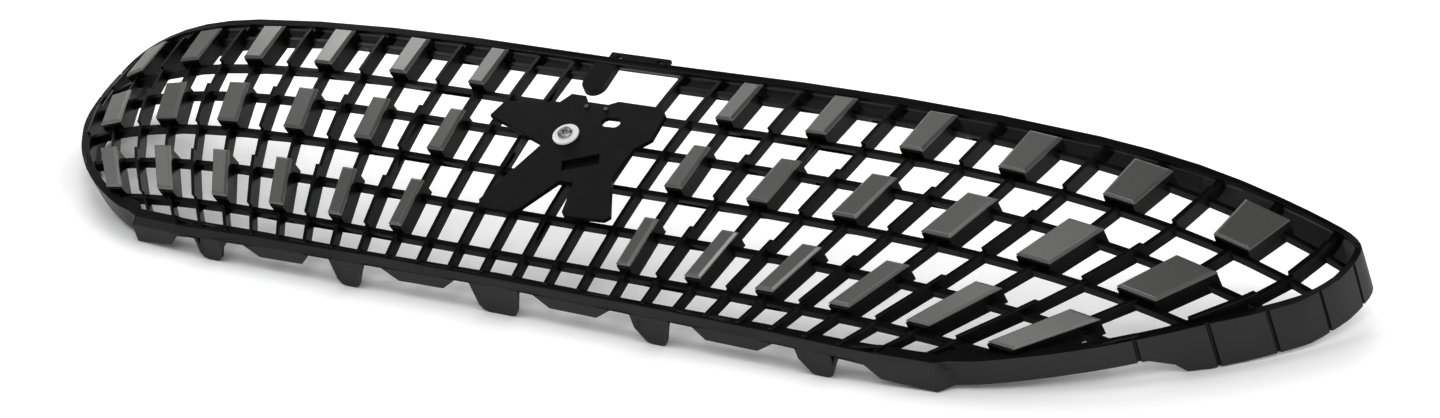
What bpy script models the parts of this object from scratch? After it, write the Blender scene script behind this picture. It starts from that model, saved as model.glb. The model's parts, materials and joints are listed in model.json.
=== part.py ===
"""Front grille of a passenger car: one black lattice moulding, 36 satin tile caps,
a central emblem bracket, its nylon washer and its screw.

The grille lies on its back as it would on a bench: the five lower tabs and the
rear edges of the two end walls touch Z = 0, and the face leans up and away.
Plan sizes are written in millimetres in the face frame (x across the car,
y up the face, z out of the face) and are turned into metres when a vertex is made.
"""

import math

import bmesh
import bpy

for old in list(bpy.data.objects):
    bpy.data.objects.remove(old, do_unlink=True)

# ---------------------------------------------------------------- dimensions (mm)
MM = 0.001
LEAN = math.radians(28.0)      # face lean while the part lies on its back
REST = 88.5                    # face origin above the bench
SETBACK = 36.1                 # centres the resting depth on Y = 0

CROWN_Y = 0.80e-3              # face curvature up the face
CROWN_X2 = 1.9e-5              # sweep-back of the face towards the ends
CROWN_X4 = 1.16e-9
CROWN_X6 = 1.3e-15
CROWN_XY = 2.55e-8
DRAFT = 0.18                   # vanes pitch up this much per unit of depth
ROW_LIFT = 4.4e-5              # rows climb towards the ends

FIRST_TILE = 93.6              # first tile column, from the centre line
COLUMN_LEAN = 0.073            # its lean per unit of height
PITCH = 62.3                   # tile pitch at mid height
PITCH_Y = 0.1096               # fan opening of the pitch with height
PITCH_YY = -0.00055
BARS_PER_SIDE = 17             # bars are numbered from the centre: 0.5, 1.5, 2.5 ...
TILE_BARS = (3.5, 5.5, 7.5, 9.5, 11.5, 13.5)
ROW_NAMES = ("upper", "middle", "lower")
ROW_SPAN = ((45.0, 83.0), (-19.0, 19.0), (-83.0, -45.0))       # tile caps, foot and top
PILLAR_SPAN = ((44.3, 83.0), (-19.6, 19.0), (-84.0, -45.0))    # pillars under them
TILE_WIDTH_TOP = ((14.0, 2.4), (12.0, 2.4), (10.0, 1.6))       # first tile, growth
TILE_WIDTH_FOOT = ((13.0, 1.6), (13.0, 2.0), (10.0, 1.2))

BAR_WIDTH = 3.0
BAR_FRONT = 6.4                # depths below the face surface
BAR_BACK = 14.6
RAISED_FRONT = 3.2             # bars between two tiles stand proud
LOW_BAR_FRONT = 7.0            # bars below the lowest slat
SLAT_FRONT = 8.0
BLOCK_FRONT = 2.6              # pillar under a tile cap
BLOCK_BACK = 16.0
END_DEPTH = 1.6                # extra depth of the lattice rear at the ends
END_REACH = 400.0
BLOCK_INSET = 0.5              # cap overhang past its pillar
SLATS = ((73.0, 76.6), (40.4, 44.3), (10.2, 14.4),
         (-23.4, -19.6), (-55.8, -51.7), (-88.0, -84.0))
WINDOW = (-0.5, 1.5)           # bars that bound the window above the bracket

CAP_REAR = 2.3
CAP_EDGE = 1.5                 # depth of the chamfer foot
CAP_CHAMFER = 1.7              # chamfer width on the face
STUD_HALF = 1.9                # square stud on the back of a cap
STUD_LENGTH = 6.0
CLEAR = 0.3                    # assembly gap
FLAT_ANGLE = math.radians(1.0)

WALL = 3.0
LIP_WIDTH = 6.0
LIP_DEPTH = 3.0
END_LIP = 4.6
RAIL_GROWTH = 3.6              # extra lip width at the outer end of the bottom rail
SHOULDER = 7.0                 # depth where the lip has blended into the wall
RAIL_SHOULDER = 3.5
RAIL_FLARE = 5.2               # bottom rail: outward step at the shoulder
END_FLARE = 4.5                # end walls lean outwards this much to the rear
NOTCH_BACK = 13.0              # rear of the top wall behind the window
CLIP_INSET = 1.5               # bars are buried this far in the wall
TOP_WALL_BACK = 26.0
END_WALL_BACK = 24.0
FLANGE_BACK = 38.0             # deep end flange that rests on the bench
SPACING = 6.0                  # outline rows farther apart than this get one between
GROOVE_HALF = 1.3
GROOVE_DEPTH = 1.2

HUB = (1.0, 6.0)               # screw axis of the emblem bracket
BOSS_RADIUS = 8.0
BOSS_TOP = 0.2
BOSS_FOOT = -14.0
PLATE_BACK = 0.5
PLATE_FRONT = 4.0
SCREW_HOLE = 2.0
PLATE_HOLE = 2.6
WASHER_RADIUS = 9.0
WASHER_HOLE = 2.4
WASHER_THICK = 1.6
SCREW_RADIUS = 1.7
HEAD_RADIUS = 5.0
HEAD_THICK = 2.2
HEAD_BEVEL = 0.9
CROSS_HALF = 0.6               # cross recess: half width, reach and depth
CROSS_REACH = 2.6
CROSS_DEPTH = 1.3
SCREW_LENGTH = 12.0

# upper fixing flange: stands up from the rear edge of the top wall
EAR_HALF = 23.5
EAR_HEIGHT = 103.5
EAR_FRONT = -16.5              # its two faces, out of the face plane
EAR_REAR = -19.5
EAR_ROOT = 91.3
EAR_HOLE_Y = 98.5
EAR_HOLE_X = 16.0
EAR_HOLE_RADIUS = 2.7

# round-ended tongue that hangs from the top wall into the window
TONGUE_X = -17.5
TONGUE_RADIUS = 8.5
TONGUE_FOOT = 61.0
TONGUE_ROOT = 91.7
TONGUE_FRONT = -10.8
TONGUE_REAR = -16.5


# ---------------------------------------------------------------- face geometry
def face_z(x, y):
    """Height of the tile-face surface above the face plane."""
    sweep = CROWN_X2 * x * x + CROWN_X4 * x ** 4 + CROWN_X6 * x ** 6
    return 0.4 - CROWN_Y * y * y - sweep - CROWN_XY * x * x * y


def place(x, y, z):
    """Face-frame millimetres to world metres."""
    across = y * math.cos(LEAN) - z * math.sin(LEAN) - SETBACK
    height = y * math.sin(LEAN) + z * math.cos(LEAN) + REST
    return (x * MM, across * MM, height * MM)


def bench_z(y):
    """Face-frame z at which a point of height y touches the bench."""
    return (-REST - y * math.sin(LEAN)) / math.cos(LEAN)


def fan_x(bar, y):
    """Centre line of a fan bar (bar may be fractional or negative)."""
    side = -1.0 if bar < 0 else 1.0
    bar = abs(bar)
    first = FIRST_TILE + COLUMN_LEAN * y
    if bar <= TILE_BARS[0]:
        return side * bar / TILE_BARS[0] * first
    pitch = PITCH + PITCH_Y * y + PITCH_YY * y * y
    return side * (first + 0.5 * (bar - TILE_BARS[0]) * pitch)


def on_face(bar, offset, v):
    """Plan position of a point beside a bar at row height v."""
    x = fan_x(bar, v)
    y = v + ROW_LIFT * x * x
    x = fan_x(bar, y) + offset
    return x, v + ROW_LIFT * x * x


def sink(bar, offset, v, depth):
    """World position of that point at a depth below the face surface."""
    x, y = on_face(bar, offset, v)
    if depth > SLAT_FRONT:
        share = (depth - SLAT_FRONT) / (BAR_BACK - SLAT_FRONT)
        depth += END_DEPTH * share * (x / END_REACH) ** 2
    return place(x, y + DRAFT * depth, face_z(x, y) - depth)


def tile_half_width(row, bar, v):
    """Half width of a tile at row height v."""
    low, high = ROW_SPAN[row]
    step = (abs(bar) - TILE_BARS[0]) / 2
    top = TILE_WIDTH_TOP[row][0] + step * TILE_WIDTH_TOP[row][1]
    foot = TILE_WIDTH_FOOT[row][0] + step * TILE_WIDTH_FOOT[row][1]
    share = min(1.0, max(0.0, (v - low) / (high - low)))
    return 0.5 * (foot + (top - foot) * share)


def nearest_row(v):
    """Tile row whose width a pillar line follows at height v."""
    gaps = [max(low - v, v - high, 0.0) for low, high in ROW_SPAN]
    return gaps.index(min(gaps))


def seat(bar, offset, v):
    """Point on the flat seat that a tile cap rests on."""
    row = nearest_row(v)
    low, high = ROW_SPAN[row]
    share = (v - low) / (high - low)
    across = 0.5 + 0.5 * offset / (tile_half_width(row, bar, v) - BLOCK_INSET)
    point = [0.0, 0.0, 0.0]
    for edge, up in ((low, 1.0 - share), (high, share)):
        half = tile_half_width(row, bar, edge) - BLOCK_INSET
        for side, weight in ((-1, 1.0 - across), (1, across)):
            corner = sink(bar, side * half, edge, BLOCK_FRONT)
            point = [total + up * weight * part for total, part in zip(point, corner)]
    return tuple(point)


def row_at(v):
    """Tile row that contains height v, or None between rows."""
    for row, (low, high) in enumerate(PILLAR_SPAN):
        if low < v < high:
            return row
    return None


# ---------------------------------------------------------------- helpers
def material(name, colour, roughness, metallic=0.0):
    made = bpy.data.materials.new(name)
    made.use_nodes = True
    shader = made.node_tree.nodes["Principled BSDF"]
    shader.inputs["Base Color"].default_value = (*colour, 1.0)
    shader.inputs["Roughness"].default_value = roughness
    shader.inputs["Metallic"].default_value = metallic
    return made


def build(name, verts, faces, look, hidden=False):
    """Make an object from world vertices and outward faces."""
    mesh = bpy.data.meshes.new(name)
    mesh.from_pydata(verts, [], faces)
    shape = bmesh.new()
    shape.from_mesh(mesh)
    bmesh.ops.remove_doubles(shape, verts=shape.verts, dist=1e-7)
    bmesh.ops.recalc_face_normals(shape, faces=shape.faces)
    bmesh.ops.triangulate(shape, faces=shape.faces)
    shape.to_mesh(mesh)
    shape.free()
    thing = bpy.data.objects.new(name, mesh)
    bpy.context.scene.collection.objects.link(thing)
    if look is not None:
        mesh.materials.append(look)
    if hidden:
        thing.hide_render = True
        thing.display_type = "WIRE"
    return thing


def stack(rings):
    """Faces of a solid made from equal rings, capped at both ends."""
    count = len(rings[0])
    verts = [point for ring in rings for point in ring]
    faces = [tuple(range(count))]
    for level in range(len(rings) - 1):
        base = level * count
        for i in range(count):
            j = (i + 1) % count
            faces.append((base + i, base + j, base + count + j, base + count + i))
    last = (len(rings) - 1) * count
    faces.append(tuple(range(last, last + count)))
    return verts, faces


def circle(centre, radius, z, sides=20):
    ring = []
    for i in range(sides):
        turn = 2 * math.pi * i / sides
        x = centre[0] + radius * math.cos(turn)
        ring.append(place(x, centre[1] + radius * math.sin(turn), z))
    return ring


def box(low, high):
    """Rings of a box given in face-frame millimetres."""
    rings = []
    for z in (low[2], high[2]):
        corners = ((low[0], low[1]), (high[0], low[1]), (high[0], high[1]), (low[0], high[1]))
        rings.append([place(x, y, z) for x, y in corners])
    return rings


def square(half):
    """Corners of a square about its centre."""
    return ((-half, -half), (half, -half), (half, half), (-half, half))


def join(parts):
    """One vertex and face list from several."""
    verts, faces = [], []
    for some_verts, some_faces in parts:
        base = len(verts)
        verts += some_verts
        faces += [tuple(base + i for i in face) for face in some_faces]
    return verts, faces


def boolean(target, operation, other):
    mod = target.modifiers.new(operation.lower() + "_" + other.name, "BOOLEAN")
    mod.operation = operation
    mod.solver = "EXACT"
    mod.object = other


def merge_flats(target):
    """Join neighbouring facets that lie in one plane."""
    mod = target.modifiers.new("merge_flats", "DECIMATE")
    mod.decimate_type = "DISSOLVE"
    mod.angle_limit = FLAT_ANGLE


black = material("black_abs", (0.012, 0.012, 0.013), 0.42)
bracket_black = material("bracket_black", (0.010, 0.010, 0.011), 0.55)
satin = material("satin_grey", (0.20, 0.20, 0.19), 0.38, 0.55)
nylon = material("white_nylon", (0.75, 0.75, 0.73), 0.5)
steel = material("screw_steel", (0.55, 0.55, 0.56), 0.35, 1.0)


# ---------------------------------------------------------------- lattice grid
def lattice_lines():
    """Vertical lines as (bar, side, kind); kind is 'bar' or 'block' edge."""
    lines = []
    for number in range(-BARS_PER_SIDE, BARS_PER_SIDE):
        bar = number + 0.5
        if abs(bar) in TILE_BARS:
            lines.append((bar, -1, "block"))
        lines.append((bar, -1, "bar"))
        lines.append((bar, 1, "bar"))
        if abs(bar) in TILE_BARS:
            lines.append((bar, 1, "block"))
    return lines


def lattice_heights():
    """Row heights at which the lattice changes section."""
    heights = {-107.0, 107.0}
    for low, high in SLATS + PILLAR_SPAN:
        heights.update((low, high))
    return sorted(heights)


def line_offset(line, v):
    bar, side, kind = line
    if kind == "bar":
        return side * BAR_WIDTH / 2
    half = tile_half_width(nearest_row(v), bar, v) - BLOCK_INSET
    return side * half


def cell_section(left, right, low, high):
    """Front and back depth of one lattice cell, or None for an opening."""
    mid = 0.5 * (low + high)
    row = row_at(mid)
    slat = any(a < mid < b for a, b in SLATS)
    if left[0] == right[0]:
        tile_bar = abs(left[0]) in TILE_BARS
        if tile_bar and row is not None:
            return BLOCK_FRONT, BLOCK_BACK
        if left[2] == "bar" and right[2] == "bar" and not bar_is_cut(left[0], mid):
            if mid < SLATS[-1][0]:
                return LOW_BAR_FRONT, BAR_BACK
            proud = row is not None and abs(left[0]) > TILE_BARS[0]
            return (RAISED_FRONT if proud else BAR_FRONT), BAR_BACK
    if slat and not slat_is_cut(left[0], right[0], mid):
        return SLAT_FRONT, BAR_BACK
    return None


def bar_is_cut(bar, v):
    """The window drops both middle bars, and the right one down to the bracket's slot."""
    foot = SLATS[2][1] if bar > 0 else SLATS[1][1]
    return abs(bar) < WINDOW[1] and v > foot


def slat_is_cut(left, right, v):
    """The window above the emblem bracket drops the top slat."""
    return left >= WINDOW[0] and right <= WINDOW[1] and v > SLATS[1][1]


def lattice():
    lines = lattice_lines()
    heights = lattice_heights()
    wide = len(lines) - 1
    tall = len(heights) - 1
    cells = {}
    for i in range(wide):
        for k in range(tall):
            cell = cell_section(lines[i], lines[i + 1], heights[k], heights[k + 1])
            if cell is not None:
                cells[i, k] = cell
    levels = {}
    for (i, k), cell in cells.items():
        for a in (i, i + 1):
            for b in (k, k + 1):
                levels.setdefault((a, b), set()).update(cell)
    verts, index, faces = [], {}, []

    def vert(a, b, depth):
        key = (a, b, depth)
        if key not in index:
            index[key] = len(verts)
            bar = lines[a][0]
            offset = line_offset(lines[a], heights[b])
            if depth == BLOCK_FRONT:
                verts.append(seat(bar, offset, heights[b]))
            else:
                verts.append(sink(bar, offset, heights[b], depth))
        return index[key]

    def run(a, b, top, foot):
        """Vertices down one vertical edge of a wall."""
        stops = sorted(d for d in levels[a, b] if top <= d <= foot)
        return [vert(a, b, d) for d in stops]

    def wall(start, end, top, foot):
        down = run(*start, top, foot)
        up = run(*end, top, foot)
        faces.append(tuple(down + up[::-1]))

    for (i, k), (top, foot) in cells.items():
        faces.append(tuple(vert(a, b, top) for a, b in ((i, k), (i + 1, k), (i + 1, k + 1), (i, k + 1))))
        faces.append(tuple(vert(a, b, foot) for a, b in ((i, k), (i, k + 1), (i + 1, k + 1), (i + 1, k))))
        sides = (((i, k), (i, k + 1), (i - 1, k)), ((i + 1, k + 1), (i + 1, k), (i + 1, k)),
                 ((i + 1, k), (i, k), (i, k - 1)), ((i, k + 1), (i + 1, k + 1), (i, k + 1)))
        for start, end, other in sides:
            near = cells.get(other)
            if near is None:
                wall(start, end, top, foot)
                continue
            if near[0] > top:
                wall(start, end, top, near[0])
            if near[1] < foot:
                wall(start, end, near[1], foot)
    return verts, faces


# ---------------------------------------------------------------- surround wall
def rounded(rows):
    """Outline rows with a smooth in-between row wherever two lie far enough apart."""
    made = list(rows[:1])
    for i in range(1, len(rows)):
        near, far = rows[i - 1], rows[i]
        if 1 < i < len(rows) - 1 and math.dist(near[:2], far[:2]) > SPACING:
            before, after = rows[i - 2], rows[i + 1]
            x, y = ((9.0 * (near[k] + far[k]) - before[k] - after[k]) / 16.0 for k in (0, 1))
            made.append((x, y, *(0.5 * (near[k] + far[k]) for k in (2, 3, 4))))
        made.append(far)
    return made


def stations():
    """Right half of the outline, top centre to bottom centre.

    Each row: x, y, front depth, outward flare, depth of the wall's rear edge
    (zero or less: minus its height above the bench), then "groove" where a groove
    runs down the wall."""
    top = [(x, y, 4.0, flare, back) for x, y, flare, back in (
        (0.0, 93.0, 0.0, NOTCH_BACK), (34.0, 93.3, 0.0, NOTCH_BACK), (39.0, 93.4, 0.0, TOP_WALL_BACK),
        (65.0, 94.0, 0.0, TOP_WALL_BACK), (130.0, 95.3, 0.0, TOP_WALL_BACK),
        (200.0, 96.0, 0.0, 27.0), (268.0, 97.3, 0.5, 29.0), (332.0, 101.0, 1.0, 31.5),
        (393.0, 105.7, 1.5, 35.5))]
    corner = [(440.0, 107.8, 3.4, 3.0, 37.0), (468.0, 108.9, 2.4, 3.0, FLANGE_BACK),
              (481.5, 108.6, 1.4, 2.5, FLANGE_BACK), (488.5, 105.0, 1.0, 2.5, FLANGE_BACK),
              (490.5, 98.5, 1.0, 2.5, FLANGE_BACK)]
    end = []
    bends = ((490.0, 87.0, 1.6, 2.0, True), (487.0, 70.0, 2.4, 2.0, False), (481.0, 54.0, 3.2, 3.0, True),
             (473.6, 38.0, 4.0, END_FLARE, False), (461.8, 20.2, 4.0, END_FLARE, True),
             (450.0, 5.0, 4.0, END_FLARE, False), (437.5, -9.1, 4.0, END_FLARE, True),
             (434.0, -13.0, 4.0, END_FLARE, False), (424.5, -23.3, 4.0, 2.0, False))
    for x, y, front, flare, grooved in bends:
        end.append((x, y, front, flare, FLANGE_BACK))
        if grooved:
            end[-1] = end[-1] + ("groove",)
    low = [(420.5, -27.5, 4.0, 0.0, 32.0), (410.0, -37.8, 4.0, 0.0, END_WALL_BACK),
           (406.0, -41.2, 4.0, 0.0, END_WALL_BACK, "groove"),
           (391.0, -54.0, 4.0, 0.0, END_WALL_BACK), (367.0, -71.0, 4.0, 0.0, END_WALL_BACK),
           (342.0, -85.0, 4.0, 0.5, END_WALL_BACK), (326.0, -92.0, 4.5, 1.0, END_WALL_BACK),
           (314.0, -95.5, 5.0, 2.0, END_WALL_BACK)]
    notch = (6.0, 11.5)
    skirt = (7.5, 19.7)
    foot = (10.0, 0.0)
    bend = (10.0, -1.6)
    side = (9.8, -6.0)
    slope = (9.5, -13.0)
    bottom = []
    plan = ((306.0, skirt), (272.0, skirt), (263.0, notch), (246.5, notch), (243.0, side),
            (241.0, bend), (237.5, foot), (230.5, foot), (227.0, bend), (224.5, side),
            (220.5, slope), (217.5, notch), (203.0, notch), (191.0, skirt),
            (155.0, skirt), (147.0, notch), (130.5, notch), (127.0, side), (125.0, bend),
            (121.5, foot), (114.5, foot), (111.0, bend), (108.5, side), (105.0, slope),
            (102.0, notch), (88.0, notch), (76.0, skirt), (41.0, skirt),
            (30.0, notch), (19.0, notch), (15.0, side), (12.5, bend), (8.5, foot), (0.0, foot))
    for x, (flare, back) in plan:
        y = -102.0 - 1.6 * math.sin(math.pi * min(x, 260.0) / 320.0)
        if x > 260.0:
            y += (x - 260.0) * 0.085
        front = 8.0 - 3.0 * max(0.0, (x - 246.0) / 68.0)
        if x > 250.0:
            back += 3.5 * (x - 250.0) / 56.0
        bottom.append((x, y, front, flare, back))
    straight = 6
    return top[:straight] + rounded(top[straight:] + corner + end + low) + bottom


def lip_width(x, y):
    """The lip narrows round the upper ends and widens along the outer bottom rail."""
    if y > 45.0 and abs(x) > 400.0:
        return END_LIP
    if y > -90.0:
        return LIP_WIDTH
    return LIP_WIDTH + RAIL_GROWTH * min(1.0, max(0.0, (abs(x) - 95.0) / 170.0))


def outline():
    """Full closed outline with grooves opened out, and outward normals."""
    half = stations()
    loop = half + [(-row[0],) + row[1:] for row in half[-2:0:-1]]
    count = len(loop)
    points = []
    for i, row in enumerate(loop):
        before = loop[i - 1]
        after = loop[(i + 1) % count]
        along = (after[0] - before[0], after[1] - before[1])
        size = math.hypot(*along)
        along = (along[0] / size, along[1] / size)
        out = (-along[1], along[0])
        if len(row) == 6:
            for shift, dent in ((-1.0, 0.0), (-0.6, 1.0), (0.6, 1.0), (1.0, 0.0)):
                step = shift * GROOVE_HALF
                x = row[0] + step * along[0]
                y = row[1] + step * along[1]
                points.append((x, y, *row[2:5], out, dent * GROOVE_DEPTH))
        else:
            points.append((*row[:5], out, 0.0))
    return points


def wall_section(x, y, front, flare, back, out, dent):
    """Seven corners of the wall section at one outline point."""
    surface = face_z(x, y)

    def at(inset, z):
        return place(x - inset * out[0], y - inset * out[1], z)

    low_rail = flare > END_FLARE + 0.5
    shoulder = front + (RAIL_SHOULDER if low_rail else SHOULDER)
    base_flare = RAIL_FLARE if low_rail else 0.25 * flare
    lip = lip_width(x, y) - 0.5 * base_flare
    end_y = y + flare * out[1]
    rear = surface - back if back > 0.0 else bench_z(end_y) - back
    rear = max(rear, bench_z(end_y))
    if not low_rail:
        rear = max(rear, bench_z(y))
    return (at(dent, surface - front), at(dent - base_flare, surface - shoulder),
            at(dent - flare, rear), at(WALL - flare, rear),
            at(WALL - base_flare, surface - shoulder - 1.0),
            at(lip, surface - front - LIP_DEPTH), at(lip, surface - front))


def surround():
    rings = [wall_section(*point) for point in outline()]
    count = len(rings)
    size = len(rings[0])
    verts = [corner for ring in rings for corner in ring]
    faces = []
    for i in range(count):
        j = (i + 1) % count
        for a in range(size):
            b = (a + 1) % size
            faces.append((i * size + a, i * size + b, j * size + b, j * size + a))
    return verts, faces


def clip_prism():
    """Solid inside the middle of the wall: lattice outside it is trimmed."""
    rings = []
    for z in (-230.0, 40.0):
        ring = []
        for x, y, _front, _flare, _back, out, _dent in outline():
            ring.append(place(x - CLIP_INSET * out[0], y - CLIP_INSET * out[1], z))
        rings.append(ring)
    return stack(rings)


frame_wall = build("surround_wall", *surround(), None, hidden=True)
clip = build("lattice_clip", *clip_prism(), None, hidden=True)
boss_rings = [circle(HUB, BOSS_RADIUS, z) for z in (BOSS_FOOT, BOSS_TOP)]
boss = build("screw_boss", *stack(boss_rings), None, hidden=True)

ear = build("upper_ear", *stack(box((-EAR_HALF, EAR_ROOT, EAR_REAR), (EAR_HALF, EAR_HEIGHT, EAR_FRONT))),
            None, hidden=True)

tongue_plan = [(TONGUE_X + TONGUE_RADIUS, TONGUE_ROOT), (TONGUE_X - TONGUE_RADIUS, TONGUE_ROOT)]
for turn in range(11):
    angle = math.pi * (1.0 + turn / 10)
    tongue_plan.append((TONGUE_X + TONGUE_RADIUS * math.cos(angle),
                        TONGUE_FOOT + TONGUE_RADIUS * (1.0 + math.sin(angle))))
tongue_rings = [[place(x, y, z) for x, y in tongue_plan] for z in (TONGUE_REAR, TONGUE_FRONT)]
tongue = build("window_tongue", *stack(tongue_rings), None, hidden=True)

pocket_parts = []
socket = square(STUD_HALF + CLEAR)
for row in range(len(ROW_SPAN)):
    middle = 0.5 * (ROW_SPAN[row][0] + ROW_SPAN[row][1])
    for bar in TILE_BARS:
        for side in (-1, 1):
            rings = []
            for depth in (BLOCK_FRONT - 1.0, CAP_REAR + STUD_LENGTH + CLEAR):
                rings.append([sink(side * bar, dx, middle + dv, depth) for dx, dv in socket])
            pocket_parts.append(stack(rings))
hole_depth = PLATE_FRONT - SCREW_LENGTH - 1.0
pocket_parts.append(stack([circle(HUB, SCREW_HOLE, hole_depth, 12), circle(HUB, SCREW_HOLE, 3.0, 12)]))
for side in (-1, 1):
    centre = (side * EAR_HOLE_X, EAR_HOLE_Y)
    pocket_parts.append(stack([circle(centre, EAR_HOLE_RADIUS, EAR_REAR - 2.0, 16),
                               circle(centre, EAR_HOLE_RADIUS, EAR_FRONT + 2.0, 16)]))
pockets = build("lattice_pockets", *join(pocket_parts), None, hidden=True)

grille = build("lattice_moulding", *lattice(), black)
boolean(grille, "INTERSECT", clip)
boolean(grille, "UNION", frame_wall)
boolean(grille, "UNION", boss)
boolean(grille, "UNION", ear)
boolean(grille, "UNION", tongue)
boolean(grille, "DIFFERENCE", pockets)
merge_flats(grille)


# ---------------------------------------------------------------- tile caps
def cap(row, bar):
    """Chamfered cap with one square stud, as vertices and faces."""
    low, high = ROW_SPAN[row]

    def ring(inset, depth):
        corners = []
        for side, v in ((-1, low + inset), (1, low + inset), (1, high - inset), (-1, high - inset)):
            half = tile_half_width(row, bar, v) - inset
            corners.append(sink(bar, side * half, v, depth))
        return corners

    middle = 0.5 * (low + high)
    rings = [ring(CAP_CHAMFER, 0.0), ring(0.0, CAP_EDGE), ring(0.0, CAP_REAR)]
    for depth in (CAP_REAR, CAP_REAR + STUD_LENGTH):
        rings.append([sink(bar, dx, middle + dv, depth) for dx, dv in square(STUD_HALF)])
    return stack(rings)


for row, row_name in enumerate(ROW_NAMES):
    for side, side_name in ((-1, "left"), (1, "right")):
        for number, bar in enumerate(TILE_BARS, start=1):
            title = "tile_%s_%s_%d" % (row_name, side_name, number)
            build(title, *cap(row, side * bar), satin)


# ---------------------------------------------------------------- emblem bracket
PLATE = ((-64.0, 14.0), (-13.0, -4.0), (-31.0, -58.0), (-27.0, -64.0), (-3.0, -64.0), (2.0, -59.0),
         (17.0, -32.0), (27.0, -32.0), (32.0, -57.0), (35.0, -60.0), (64.0, -58.0), (67.0, -54.0),
         (52.0, -24.0), (54.0, 4.0), (62.0, 14.0), (61.0, 36.0), (55.0, 42.0), (22.0, 42.0),
         (16.0, 38.0), (0.0, 38.0), (-4.0, 43.0), (-15.0, 43.0), (-20.0, 34.0), (-60.0, 28.0))
SLOT_CENTRE = (26.0, 23.0)
SLOT_HALF = (6.8, 4.0)
POCKET_CENTRE = (23.0, -14.5)  # shallow pocket across the body of the bracket
POCKET_HALF = (12.5, 4.6)
POCKET_TURN = math.radians(25.0)
POCKET_DEPTH = 2.0
PIN_CENTRES = ((2.0, 33.0), (17.0, 33.0))
PIN_RADIUS = 1.6
PIN_TOP = 5.4

plate_rings = [[place(x, y, z) for x, y in PLATE] for z in (PLATE_BACK, PLATE_FRONT)]
bracket = build("emblem_bracket", *stack(plate_rings), bracket_black)
pin_parts = []
for centre in PIN_CENTRES:
    pin_parts.append(stack([circle(centre, PIN_RADIUS, z, 10) for z in (PLATE_FRONT - 1.0, PIN_TOP)]))
pins = build("bracket_pins", *join(pin_parts), None, hidden=True)
slot_ring = []
for turn in range(16):
    angle = 2 * math.pi * turn / 16
    spread = SLOT_HALF[0] - SLOT_HALF[1]
    x = SLOT_CENTRE[0] + SLOT_HALF[1] * math.cos(angle) + (spread if math.cos(angle) > 0 else -spread)
    slot_ring.append((x, SLOT_CENTRE[1] + SLOT_HALF[1] * math.sin(angle)))
cut_through = (PLATE_BACK - 2.0, PLATE_FRONT + 2.0)
pocket_ring = []
for along, up in ((-1, -1), (1, -1), (1, 1), (-1, 1)):
    x = along * POCKET_HALF[0]
    y = up * POCKET_HALF[1]
    pocket_ring.append((POCKET_CENTRE[0] + x * math.cos(POCKET_TURN) - y * math.sin(POCKET_TURN),
                        POCKET_CENTRE[1] + x * math.sin(POCKET_TURN) + y * math.cos(POCKET_TURN)))
pocket_span = (PLATE_FRONT - POCKET_DEPTH, PLATE_FRONT + 1.0)
holes = [stack([circle(HUB, PLATE_HOLE, z, 16) for z in cut_through]),
         stack([[place(x, y, z) for x, y in slot_ring] for z in cut_through]),
         stack([[place(x, y, z) for x, y in pocket_ring] for z in pocket_span])]
bracket_holes = build("bracket_holes", *join(holes), None, hidden=True)
boolean(bracket, "UNION", pins)
boolean(bracket, "DIFFERENCE", bracket_holes)


# ---------------------------------------------------------------- washer and screw
def tube(centre, outer, inner, low, high, sides):
    """Ring with a square section."""
    rings = [circle(centre, outer, low, sides), circle(centre, outer, high, sides),
             circle(centre, inner, high, sides), circle(centre, inner, low, sides)]
    verts = [point for ring in rings for point in ring]
    faces = []
    for level in range(4):
        base = level * sides
        above = (level + 1) % 4 * sides
        for i in range(sides):
            j = (i + 1) % sides
            faces.append((base + i, base + j, above + j, above + i))
    return verts, faces


washer_foot = PLATE_FRONT + CLEAR
washer_top = washer_foot + WASHER_THICK
build("bracket_washer", *tube(HUB, WASHER_RADIUS, WASHER_HOLE, washer_foot, washer_top, 28), nylon)

head_foot = washer_top + CLEAR
head_top = head_foot + HEAD_THICK
screw_profile = ((SCREW_RADIUS, PLATE_FRONT - SCREW_LENGTH), (SCREW_RADIUS, head_foot),
                 (HEAD_RADIUS, head_foot), (HEAD_RADIUS, head_top - HEAD_BEVEL),
                 (HEAD_RADIUS - HEAD_BEVEL, head_top))
screw_rings = [circle(HUB, radius, z, 16) for radius, z in screw_profile]
screw = build("bracket_screw", *stack(screw_rings), steel)

# cross recess: one arm's corner turned round the axis four times
cross = []
for quarter in range(4):
    turn = quarter * math.pi / 2
    for x, y in ((CROSS_HALF, -CROSS_REACH), (CROSS_HALF, -CROSS_HALF), (CROSS_REACH, -CROSS_HALF)):
        cross.append((HUB[0] + x * math.cos(turn) - y * math.sin(turn),
                      HUB[1] + x * math.sin(turn) + y * math.cos(turn)))
recess_rings = [[place(x, y, z) for x, y in cross] for z in (head_top - CROSS_DEPTH, head_top + 1.0)]
recess = build("screw_recess", *stack(recess_rings), None, hidden=True)
boolean(screw, "DIFFERENCE", recess)
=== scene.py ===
"""Looks for a car front grille: node materials, softened edges, studio floor, soft light, camera."""

import json
import math

import bpy
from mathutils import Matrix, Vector

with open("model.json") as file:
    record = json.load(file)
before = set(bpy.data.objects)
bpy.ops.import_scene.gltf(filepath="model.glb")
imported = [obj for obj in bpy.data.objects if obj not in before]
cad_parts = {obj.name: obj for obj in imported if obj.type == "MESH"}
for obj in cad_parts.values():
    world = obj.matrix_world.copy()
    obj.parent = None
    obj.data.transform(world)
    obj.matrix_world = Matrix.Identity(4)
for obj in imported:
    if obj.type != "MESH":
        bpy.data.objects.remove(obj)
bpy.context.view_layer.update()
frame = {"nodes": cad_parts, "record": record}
scene = bpy.context.scene
nodes = frame["nodes"]

TILES = sorted(name for name in nodes if name.startswith("tile_"))

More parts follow.
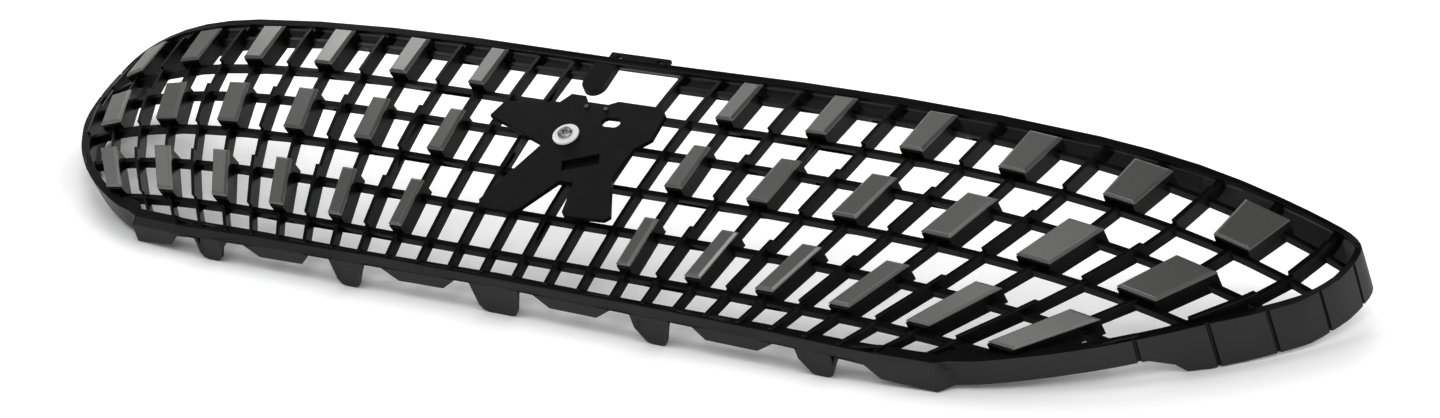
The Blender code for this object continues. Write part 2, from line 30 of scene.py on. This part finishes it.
# lengths in metres, angles in degrees
PIN_HEIGHT = 0.0014            # the bracket's pins over its face
WALL_REACH = 0.10              # how far a spot of the plastic looks for the part's other walls, for the painted shade in its hollows
WELD_GAP = 0.000005
FLAT_ANGLE = 0.6               # faces nearer to one plane than this are joined
SHARP_ANGLE = 24.0             # edges sharper than this are rounded
LATTICE_EDGE = 0.00035
TILE_EDGE = 0.0003
BRACKET_EDGE = 0.0006
WASHER_EDGE = 0.0003
SCREW_EDGE = 0.00015

FLOOR_HALF = 7.0
FLOOR_REACH = 0.12             # how far round the part the painted shadow dims the floor's glow
FLOOR_GLOW = 0.50
AMBIENT = 0.02
BOX_SIZE = 1.1
BOX_REACH = 3.0                # from the world's origin to each soft box

CAMERA_PLACE = (1.0474, -1.5608, 0.6911)
CAMERA_TURN = (1.2323, 0.0361, 0.5350)         # radians
CAMERA_LENS = 75.0             # millimetres, as the sensor
CAMERA_SENSOR = 36.0
CAMERA_NEAR = 0.01


# ---------------------------------------------------------------- node helpers
def new_material(name):
    """A fresh node material, its tree and its Principled shader."""
    made = bpy.data.materials.new(name)
    made.use_nodes = True
    tree = made.node_tree
    shader = tree.nodes["Principled BSDF"]
    return made, tree, shader


def add(tree, kind, **values):
    """A node with the given sockets or settings."""
    node = tree.nodes.new(kind)
    for key, value in values.items():
        if key in node.inputs:
            node.inputs[key].default_value = value
        else:
            setattr(node, key, value)
    return node


def noise(tree, scale, detail, stretch=None):
    """Noise on the object's own coordinates, squeezed along its axes by stretch."""
    place = add(tree, "ShaderNodeTexCoord")
    source = place.outputs["Object"]
    if stretch is not None:
        mapping = add(tree, "ShaderNodeMapping")
        mapping.inputs["Scale"].default_value = stretch
        tree.links.new(source, mapping.inputs["Vector"])
        source = mapping.outputs["Vector"]
    node = add(tree, "ShaderNodeTexNoise", Scale=scale, Detail=detail, Roughness=0.5)
    tree.links.new(source, node.inputs["Vector"])
    return node.outputs["Fac"]


def ramp(tree, source, stops):
    """Ramp over a factor: stops of (position, colour), where one number stands for a grey."""
    node = add(tree, "ShaderNodeValToRGB")
    band = node.color_ramp
    while len(band.elements) < len(stops):
        band.elements.new(0.5)
    for element, (spot, colour) in zip(band.elements, stops):
        element.position = spot
        if isinstance(colour, float):
            colour = (colour, colour, colour)
        element.color = (*colour, 1.0)
    tree.links.new(source, node.inputs["Fac"])
    return node.outputs["Color"]


def grade(tree, source, low, high):
    """A 0 to 1 factor stretched to low..high."""
    node = add(tree, "ShaderNodeMapRange")
    node.inputs["To Min"].default_value = low
    node.inputs["To Max"].default_value = high
    tree.links.new(source, node.inputs["Value"])
    return node.outputs["Result"]


def product(tree, first, second):
    """Two colours multiplied."""
    node = add(tree, "ShaderNodeMix", data_type="RGBA", blend_type="MULTIPLY")
    node.inputs["Factor"].default_value = 1.0
    tree.links.new(first, node.inputs["A"])
    tree.links.new(second, node.inputs["B"])
    return node.outputs["Result"]


def height_over(tree, point, axis):
    """Height of a spot over the plane through point, along axis."""
    place = add(tree, "ShaderNodeTexCoord")
    shifted = add(tree, "ShaderNodeVectorMath", operation="SUBTRACT")
    shifted.inputs[1].default_value = point
    tree.links.new(place.outputs["Object"], shifted.inputs[0])
    along = add(tree, "ShaderNodeVectorMath", operation="DOT_PRODUCT")
    along.inputs[1].default_value = axis
    tree.links.new(shifted.outputs["Vector"], along.inputs[0])
    return along.outputs["Value"]


def facing_up(tree):
    """World Z of the surface normal."""
    surface = add(tree, "ShaderNodeNewGeometry")
    split = add(tree, "ShaderNodeSeparateXYZ")
    tree.links.new(surface.outputs["Normal"], split.inputs["Vector"])
    return split.outputs["Z"]


def openness(tree, reach, own=False):
    """How open a spot is: 1 in the open, less in a hollow. With own, only the same object counts."""
    node = add(tree, "ShaderNodeAmbientOcclusion", Distance=reach, samples=5, only_local=own)
    return node.outputs["AO"]


def bump(tree, shader, layers):
    """Stack of (height, strength, distance) bumps into the shader's normal."""
    normal = None
    for height, strength, distance in layers:
        node = add(tree, "ShaderNodeBump", Strength=strength, Distance=distance)
        tree.links.new(height, node.inputs["Height"])
        if normal is not None:
            tree.links.new(normal, node.inputs["Normal"])
        normal = node.outputs["Normal"]
    tree.links.new(normal, shader.inputs["Normal"])


# ---------------------------------------------------------------- materials
def black_abs():
    """Moulded black plastic: fine spark grain, faint flow marks, with painted shade that darkens its
    hollows and its upward faces, so it is paler on its open outer walls.
    """
    made, tree, shader = new_material("black_abs")
    mottle = noise(tree, 26.0, 4.0)
    grain = noise(tree, 2600.0, 2.0)
    flow = noise(tree, 60.0, 2.0, stretch=(0.4, 1.0, 3.0))
    cloud = ramp(tree, mottle, ((0.25, (0.80, 0.80, 0.81)), (0.75, (1.0, 1.0, 1.0))))
    open_walls = openness(tree, WALL_REACH, own=True)
    # painted shade: the base colour darkens in the part's own hollows and is paler on its open walls
    hollow_shade = ramp(tree, open_walls, ((0.72, (0.0010, 0.0010, 0.0011)), (0.97, (0.0340, 0.0336, 0.0336))))
    # painted shade: faces turned upward are darkened
    upward_shade = ramp(tree, facing_up(tree), ((0.45, 1.0), (0.75, 0.12)))
    tone = product(tree, product(tree, cloud, hollow_shade), upward_shade)
    tree.links.new(tone, shader.inputs["Base Color"])
    tree.links.new(grade(tree, mottle, 0.30, 0.44), shader.inputs["Roughness"])
    shader.inputs["Specular IOR Level"].default_value = 0.05
    bump(tree, shader, ((grain, 0.18, 0.00006), (flow, 0.12, 0.0004)))
    return made


def tile_paint():
    """Satin dark-silver paint with fine metal flake under a thin coat."""
    made, tree, shader = new_material("satin_paint")
    flake = noise(tree, 3800.0, 1.0)
    cloud = noise(tree, 9.0, 3.0)
    peel = noise(tree, 700.0, 2.0)
    colour = ramp(tree, flake, ((0.3, (0.135, 0.135, 0.127)), (0.7, (0.190, 0.190, 0.179))))
    tree.links.new(colour, shader.inputs["Base Color"])
    shader.inputs["Metallic"].default_value = 0.55
    tree.links.new(grade(tree, cloud, 0.24, 0.34), shader.inputs["Roughness"])
    shader.inputs["Specular IOR Level"].default_value = 0.27
    shader.inputs["Coat Weight"].default_value = 0.14
    shader.inputs["Coat Roughness"].default_value = 0.25
    bump(tree, shader, ((flake, 0.10, 0.00003), (peel, 0.10, 0.00006)))
    return made


def bracket_nylon():
    """Black filled nylon: coarse moulded grain, a painted highlight on the pins and painted shade in the
    sunk pocket.
    """
    made, tree, shader = new_material("bracket_nylon")
    seat = next(mount for mount in frame["record"]["mounts"] if mount["name"] == "emblem_seat")
    height = height_over(tree, seat["pos_m"], seat["axis"])
    grain = noise(tree, 1500.0, 3.0)
    fibre = noise(tree, 160.0, 3.0, stretch=(1.0, 0.3, 1.0))
    cloud = ramp(tree, fibre, ((0.3, (0.6, 0.6, 0.6)), (0.7, (1.0, 1.0, 1.0))))
    share = add(tree, "ShaderNodeMapRange")
    share.inputs["From Min"].default_value = -PIN_HEIGHT
    share.inputs["From Max"].default_value = PIN_HEIGHT
    tree.links.new(height, share.inputs["Value"])
    # painted highlight and shade: the pins over the face are painted pale and the sunk pocket is painted
    # darkest
    pin_highlight_pocket_shade = ramp(tree, share.outputs["Result"], ((0.10, (0.0001, 0.0001, 0.0001)),
                                                  (0.40, (0.0075, 0.0074, 0.0075)),
                                                  (0.75, (0.0075, 0.0074, 0.0075)),
                                                  (0.95, (0.1400, 0.1400, 0.1380))))
    tree.links.new(product(tree, cloud, pin_highlight_pocket_shade), shader.inputs["Base Color"])
    tree.links.new(grade(tree, fibre, 0.42, 0.56), shader.inputs["Roughness"])
    shader.inputs["Specular IOR Level"].default_value = 0.05
    bump(tree, shader, ((grain, 0.30, 0.00010), (fibre, 0.12, 0.0003)))
    return made


def nylon_white():
    """Natural nylon: white, slightly translucent."""
    made, tree, shader = new_material("nylon_white")
    cloud = noise(tree, 240.0, 3.0)
    colour = ramp(tree, cloud, ((0.3, (0.84, 0.84, 0.82)), (0.7, (0.93, 0.93, 0.92))))
    tree.links.new(colour, shader.inputs["Base Color"])
    tree.links.new(grade(tree, cloud, 0.38, 0.52), shader.inputs["Roughness"])
    shader.inputs["Subsurface Weight"].default_value = 0.15
    shader.inputs["Subsurface Radius"].default_value = (0.002, 0.002, 0.002)
    shader.inputs["Subsurface Scale"].default_value = 1.0
    bump(tree, shader, ((cloud, 0.15, 0.0001),))
    return made


def zinc_steel():
    """Zinc-plated screw: grey metal with fine crystalline mottle."""
    made, tree, shader = new_material("zinc_steel")
    speck = noise(tree, 900.0, 4.0)
    colour = ramp(tree, speck, ((0.38, (0.20, 0.20, 0.21)), (0.62, (0.50, 0.50, 0.52))))
    tree.links.new(colour, shader.inputs["Base Color"])
    shader.inputs["Metallic"].default_value = 1.0
    tree.links.new(grade(tree, speck, 0.28, 0.46), shader.inputs["Roughness"])
    bump(tree, shader, ((speck, 0.2, 0.0001),))
    return made


def smoothing():
    """Node group that drops imported normals and shades every face smooth."""
    group = bpy.data.node_groups.new("smooth_shading", "GeometryNodeTree")
    group.interface.new_socket("Geometry", in_out="INPUT", socket_type="NodeSocketGeometry")
    group.interface.new_socket("Geometry", in_out="OUTPUT", socket_type="NodeSocketGeometry")
    start = group.nodes.new("NodeGroupInput")
    end = group.nodes.new("NodeGroupOutput")
    drop = group.nodes.new("GeometryNodeRemoveAttribute")
    drop.inputs["Name"].default_value = "custom_normal"
    edges = group.nodes.new("GeometryNodeSetShadeSmooth")
    edges.domain = "EDGE"
    faces = group.nodes.new("GeometryNodeSetShadeSmooth")
    faces.domain = "FACE"
    chain = (start, drop, edges, faces, end)
    for before, after in zip(chain, chain[1:]):
        group.links.new(before.outputs["Geometry"], after.inputs["Geometry"])
    return group


SMOOTH = smoothing()


def dress(name, look, width, segments=2):
    """Give a CAD node its material, and round its edges over width."""
    thing = nodes[name]
    thing.data.materials.clear()
    thing.data.materials.append(look)
    weld = thing.modifiers.new("weld", "WELD")
    weld.merge_threshold = WELD_GAP
    flats = thing.modifiers.new("flats", "DECIMATE")
    flats.decimate_type = "DISSOLVE"
    flats.angle_limit = math.radians(FLAT_ANGLE)
    smooth = thing.modifiers.new("smooth", "NODES")
    smooth.node_group = SMOOTH
    edge = thing.modifiers.new("edge", "BEVEL")
    edge.width = width
    edge.segments = segments
    edge.limit_method = "ANGLE"
    edge.angle_limit = math.radians(SHARP_ANGLE)
    edge.use_clamp_overlap = False
    edge.harden_normals = True


dress("lattice_moulding", black_abs(), LATTICE_EDGE)
paint = tile_paint()
for name in TILES:
    dress(name, paint, TILE_EDGE, 3)
dress("emblem_bracket", bracket_nylon(), BRACKET_EDGE, 3)
dress("bracket_washer", nylon_white(), WASHER_EDGE)
dress("bracket_screw", zinc_steel(), SCREW_EDGE)


# ---------------------------------------------------------------- studio
def floor():
    """Pale floor that glows softly, with a painted shadow that dims its glow close under and round the
    part.
    """
    mesh = bpy.data.meshes.new("studio_floor")
    corners = [(x * FLOOR_HALF, y * FLOOR_HALF, 0.0) for x, y in ((-1, -1), (1, -1), (1, 1), (-1, 1))]
    mesh.from_pydata(corners, [], [(0, 1, 2, 3)])
    made, tree, shader = new_material("studio_white")
    cloud = noise(tree, 1.5, 2.0)
    colour = ramp(tree, cloud, ((0.3, (0.88, 0.88, 0.88)), (0.7, (0.90, 0.90, 0.90))))
    tree.links.new(colour, shader.inputs["Base Color"])
    shader.inputs["Roughness"].default_value = 0.6
    shader.inputs["Emission Color"].default_value = (1.0, 1.0, 1.0, 1.0)
    # painted shadow: the floor's glow fades to nothing close under and round the part
    glow_with_painted_shadow = ramp(tree, openness(tree, FLOOR_REACH), ((0.35, 0.0), (1.0, FLOOR_GLOW)))
    tree.links.new(glow_with_painted_shadow, shader.inputs["Emission Strength"])
    mesh.materials.append(made)
    thing = bpy.data.objects.new("studio_floor", mesh)
    scene.collection.objects.link(thing)


# soft boxes on a ring round the part: azimuth from +X and elevation in degrees, power in watts
SOFTBOXES = (("back", 100, 33, 16.0), ("back_high", 120, 58, 1.7), ("back_left", 140, 33, 17.0),
             ("back_left_high", 147, 50, 3.2), ("left_low", 160, 10, 1.9), ("left", 180, 33, 4.0),
             ("front_left_high", 240, 58, 13.0), ("front_left", 260, 33, 10.0), ("front", 300, 33, 13.5),
             ("front_high", 300, 58, 13.5), ("right", 340, 33, 18.5), ("overhead", 0, 86, 5.6))


def softbox(name, azimuth, elevation, power):
    """Square area light that faces the part from BOX_REACH metres away."""
    turn = math.radians(azimuth)
    rise = math.radians(elevation)
    level = math.cos(rise)
    toward = Vector((level * math.cos(turn), level * math.sin(turn), math.sin(rise)))
    data = bpy.data.lights.new("softbox_" + name, "AREA")
    data.shape = "SQUARE"
    data.size = BOX_SIZE
    data.energy = power
    thing = bpy.data.objects.new("softbox_" + name, data)
    thing.location = BOX_REACH * toward
    thing.rotation_euler = (-toward).to_track_quat("-Z", "Y").to_euler()
    scene.collection.objects.link(thing)


floor()
world = bpy.data.worlds.new("studio")
world.use_nodes = True
background = world.node_tree.nodes["Background"]
background.inputs["Color"].default_value = (1.0, 1.0, 1.0, 1.0)
background.inputs["Strength"].default_value = AMBIENT
scene.world = world
for box in SOFTBOXES:
    softbox(*box)

optics = bpy.data.cameras.new("camera")
optics.lens = CAMERA_LENS
optics.sensor_width = CAMERA_SENSOR
optics.clip_start = CAMERA_NEAR
camera = bpy.data.objects.new("camera", optics)
camera.location = CAMERA_PLACE
camera.rotation_euler = CAMERA_TURN
scene.collection.objects.link(camera)
scene.camera = camera
scene.view_settings.view_transform = "Standard"
